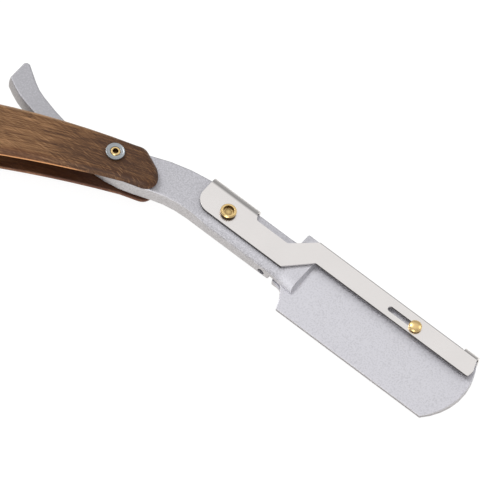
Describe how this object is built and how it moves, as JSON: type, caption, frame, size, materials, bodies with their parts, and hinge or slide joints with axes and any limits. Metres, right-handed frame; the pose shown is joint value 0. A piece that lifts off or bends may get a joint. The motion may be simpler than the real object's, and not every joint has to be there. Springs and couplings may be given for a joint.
{
  "type": "folding straight razor",
  "caption": "Folding straight razor with wooden scales, a cast aluminium shank and a two-plate holder for half blades, closed by a sliding steel bar.",
  "frame": {"origin": "on the pivot axis, in the plane of the flat face of the pivot nut, which the razor lies on", "axes": "+X along the straight rear of the handle towards the pivot, +Y to the spine side, +Z out of the front face, which carries the lock bar"},
  "size_m": [0.2338, 0.0977, 0.0125],
  "materials": {
    "wood": "satin oiled hardwood with fine dark grain",
    "cast": "fine sand-blasted",
    "steel": "polished sheet",
    "brass": "polished"
  },
  "bodies": {
    "handle": {"front_scale": "wood", "back_scale": "wood", "rear_spacer": "cast", "rear_pin": "brass", "rear_washer_front": "steel", "rear_washer_back": "steel", "pivot_nut": "brass", "pivot_washer": "steel", "thrust_washer_front": "brass", "thrust_washer_back": "brass"},
    "pivot_screw_body": {"pivot_screw": "brass"},
    "blade_holder": {"shank": "cast", "hinge_pin": "steel", "slot_rivet": "brass", "blade_pin_heel": "steel", "blade_pin_nose": "steel"},
    "rear_plate_body": {"rear_plate": "cast"},
    "lock_bar_body": {"lock_bar": "steel", "lock_nut": "steel", "lock_spring": "steel"},
    "lock_screw_body": {"lock_screw": "brass"}
  },
  "joints": [
    {"name": "fold", "type": "hinge", "parent": "handle", "child": "blade_holder", "pos_m": [0, 0, 0.0061], "axis": [0, 0, 1], "range_deg": [-143.5, 155.5]},
    {"name": "rear_plate_hinge", "type": "hinge", "parent": "blade_holder", "child": "rear_plate_body", "pos_m": [0.04219, -0.0251, 0.00525], "axis": [0.6157, 0.788, 0], "range_deg": [0, 75]},
    {"name": "bar_slide", "type": "slide", "parent": "blade_holder", "child": "lock_bar_body", "axis": [0.788, -0.6157, 0], "range_m": [0, 0.008]},
    {"name": "pivot_screw_turn", "type": "hinge", "parent": "handle", "child": "pivot_screw_body", "pos_m": [0, 0, 0.0061], "axis": [0, 0, 1], "range_deg": [-90, 90]},
    {"name": "lock_screw_turn", "type": "hinge", "parent": "lock_bar_body", "child": "lock_screw_body", "pos_m": [0.02994, -0.01446, 0.0061], "axis": [0, 0, 1], "range_deg": [-90, 90]}
  ]
}
